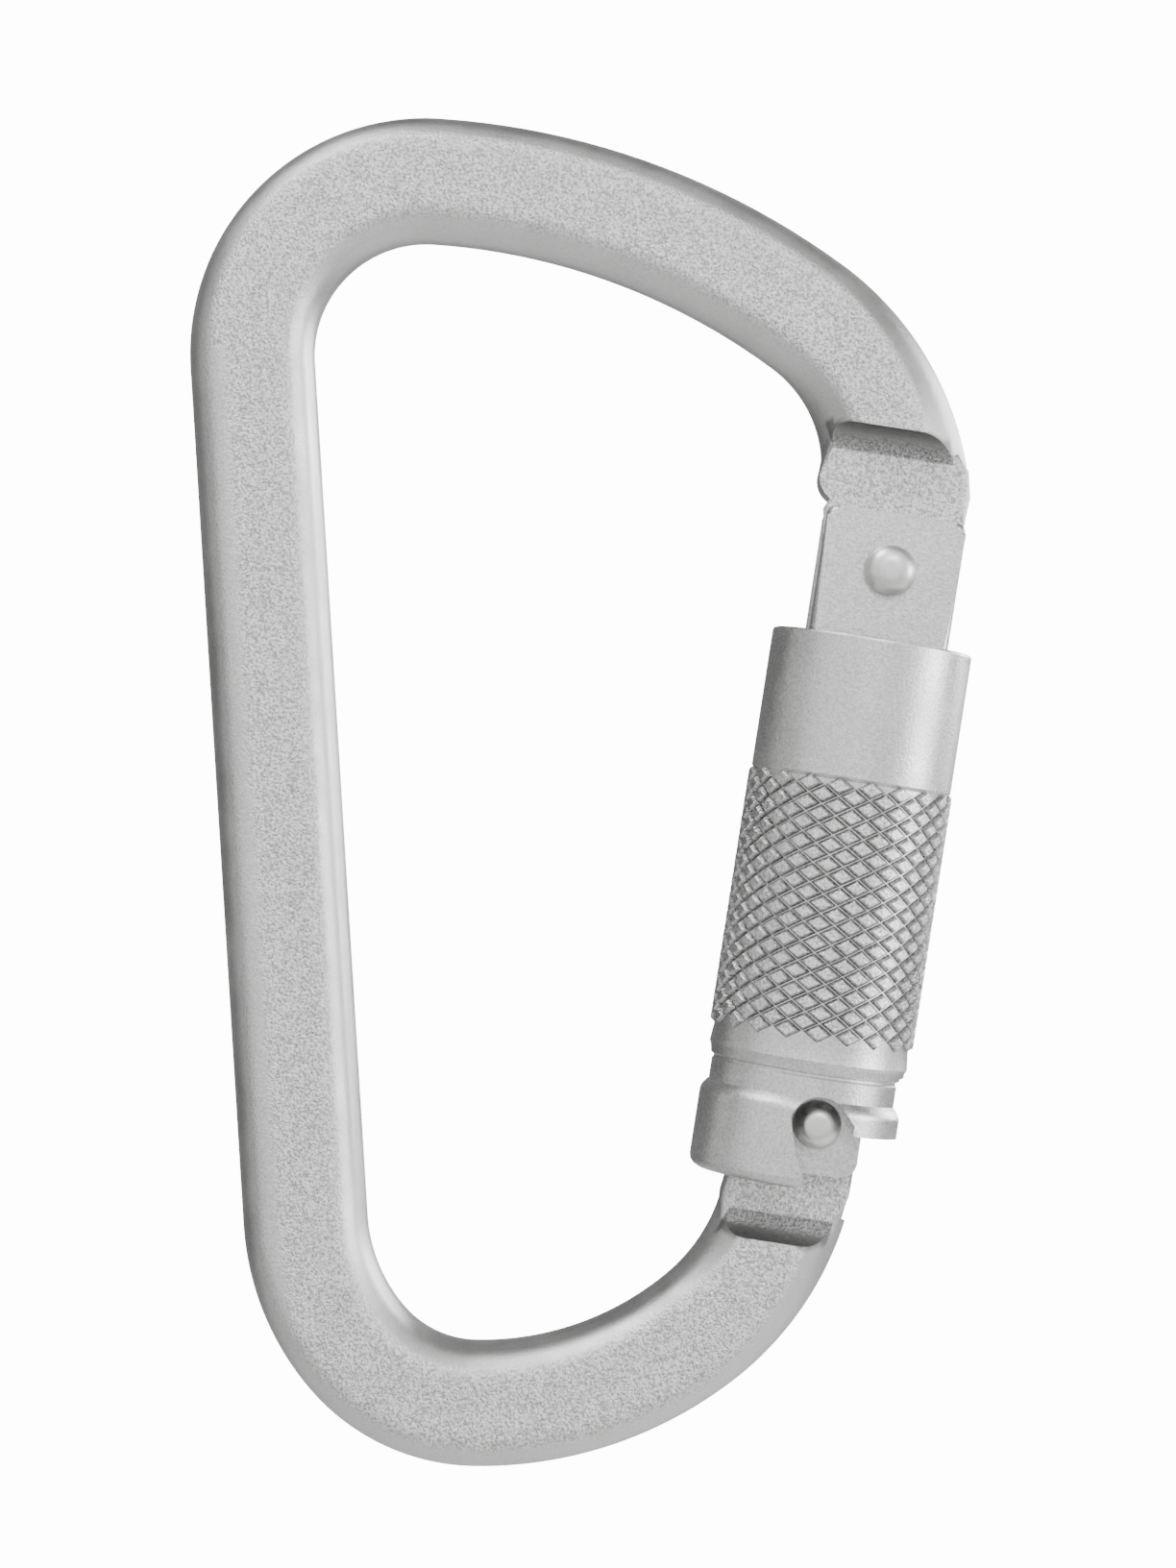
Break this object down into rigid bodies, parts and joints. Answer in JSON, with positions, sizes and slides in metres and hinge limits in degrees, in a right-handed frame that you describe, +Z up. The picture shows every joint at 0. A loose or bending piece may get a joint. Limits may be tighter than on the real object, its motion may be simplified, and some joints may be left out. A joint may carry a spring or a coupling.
{
  "type": "locking carabiner",
  "caption": "Steel locking connector with an offset D frame, a hinged gate that swings inward, and a knurled sprung sleeve that turns over the gate's nose.",
  "frame": {"origin": "inner crown of the upper bow at mid thickness, where an anchor or sling carries the connector", "axes": "+Z up along the straight spine, +X from the spine to the gate, -Y out of the front"},
  "size_m": [0.0639, 0.0172, 0.1121],
  "materials": {
    "forged_steel": "zinc plated over a forged, lightly sandy surface",
    "machined_steel": "zinc plated, satin",
    "rivet_steel": "zinc plated, bright",
    "spring_steel": "drawn wire, oiled"
  },
  "bodies": {
    "frame": {"frame": "forged_steel"},
    "gate": {"gate_body": "machined_steel", "hinge_rivet": "rivet_steel", "latch_rivet": "rivet_steel", "sleeve_spring": "spring_steel", "gate_spring": "spring_steel"},
    "sleeve_carrier": {"spring_washer": "spring_steel"},
    "sleeve": {"lock_sleeve": "machined_steel"},
    "plunger": {"gate_plunger": "spring_steel"}
  },
  "joints": [
    {"name": "gate_swing", "type": "hinge", "parent": "frame", "child": "gate", "pos_m": [0.03712, 0, -0.02974], "axis": [0, 1, 0], "range_deg": [0, 34], "stiffness_Nm_per_rad": 0.25, "springref_deg": -45.84},
    {"name": "sleeve_lift", "type": "slide", "parent": "gate", "child": "sleeve_carrier", "axis": [0.2143, 0, 0.9768], "range_m": [0, 0.0034], "stiffness_N_per_m": 300, "springref_m": -0.01, "deforming": ["sleeve_spring"]},
    {"name": "sleeve_turn", "type": "hinge", "parent": "sleeve_carrier", "child": "sleeve", "pos_m": [0.03688, 0, -0.02968], "axis": [-0.2143, 0, -0.9768], "range_deg": [0, 90]},
    {"name": "plunger_slide", "type": "slide", "parent": "gate", "child": "plunger", "axis": [-0.2143, 0, -0.9768], "range_m": [0, 0.0009], "deforming": ["gate_spring"]}
  ],
  "couplings": [
    {"joint": "plunger_slide", "follows": "gate_swing", "m_per_rad": 0.0014}
  ]
}
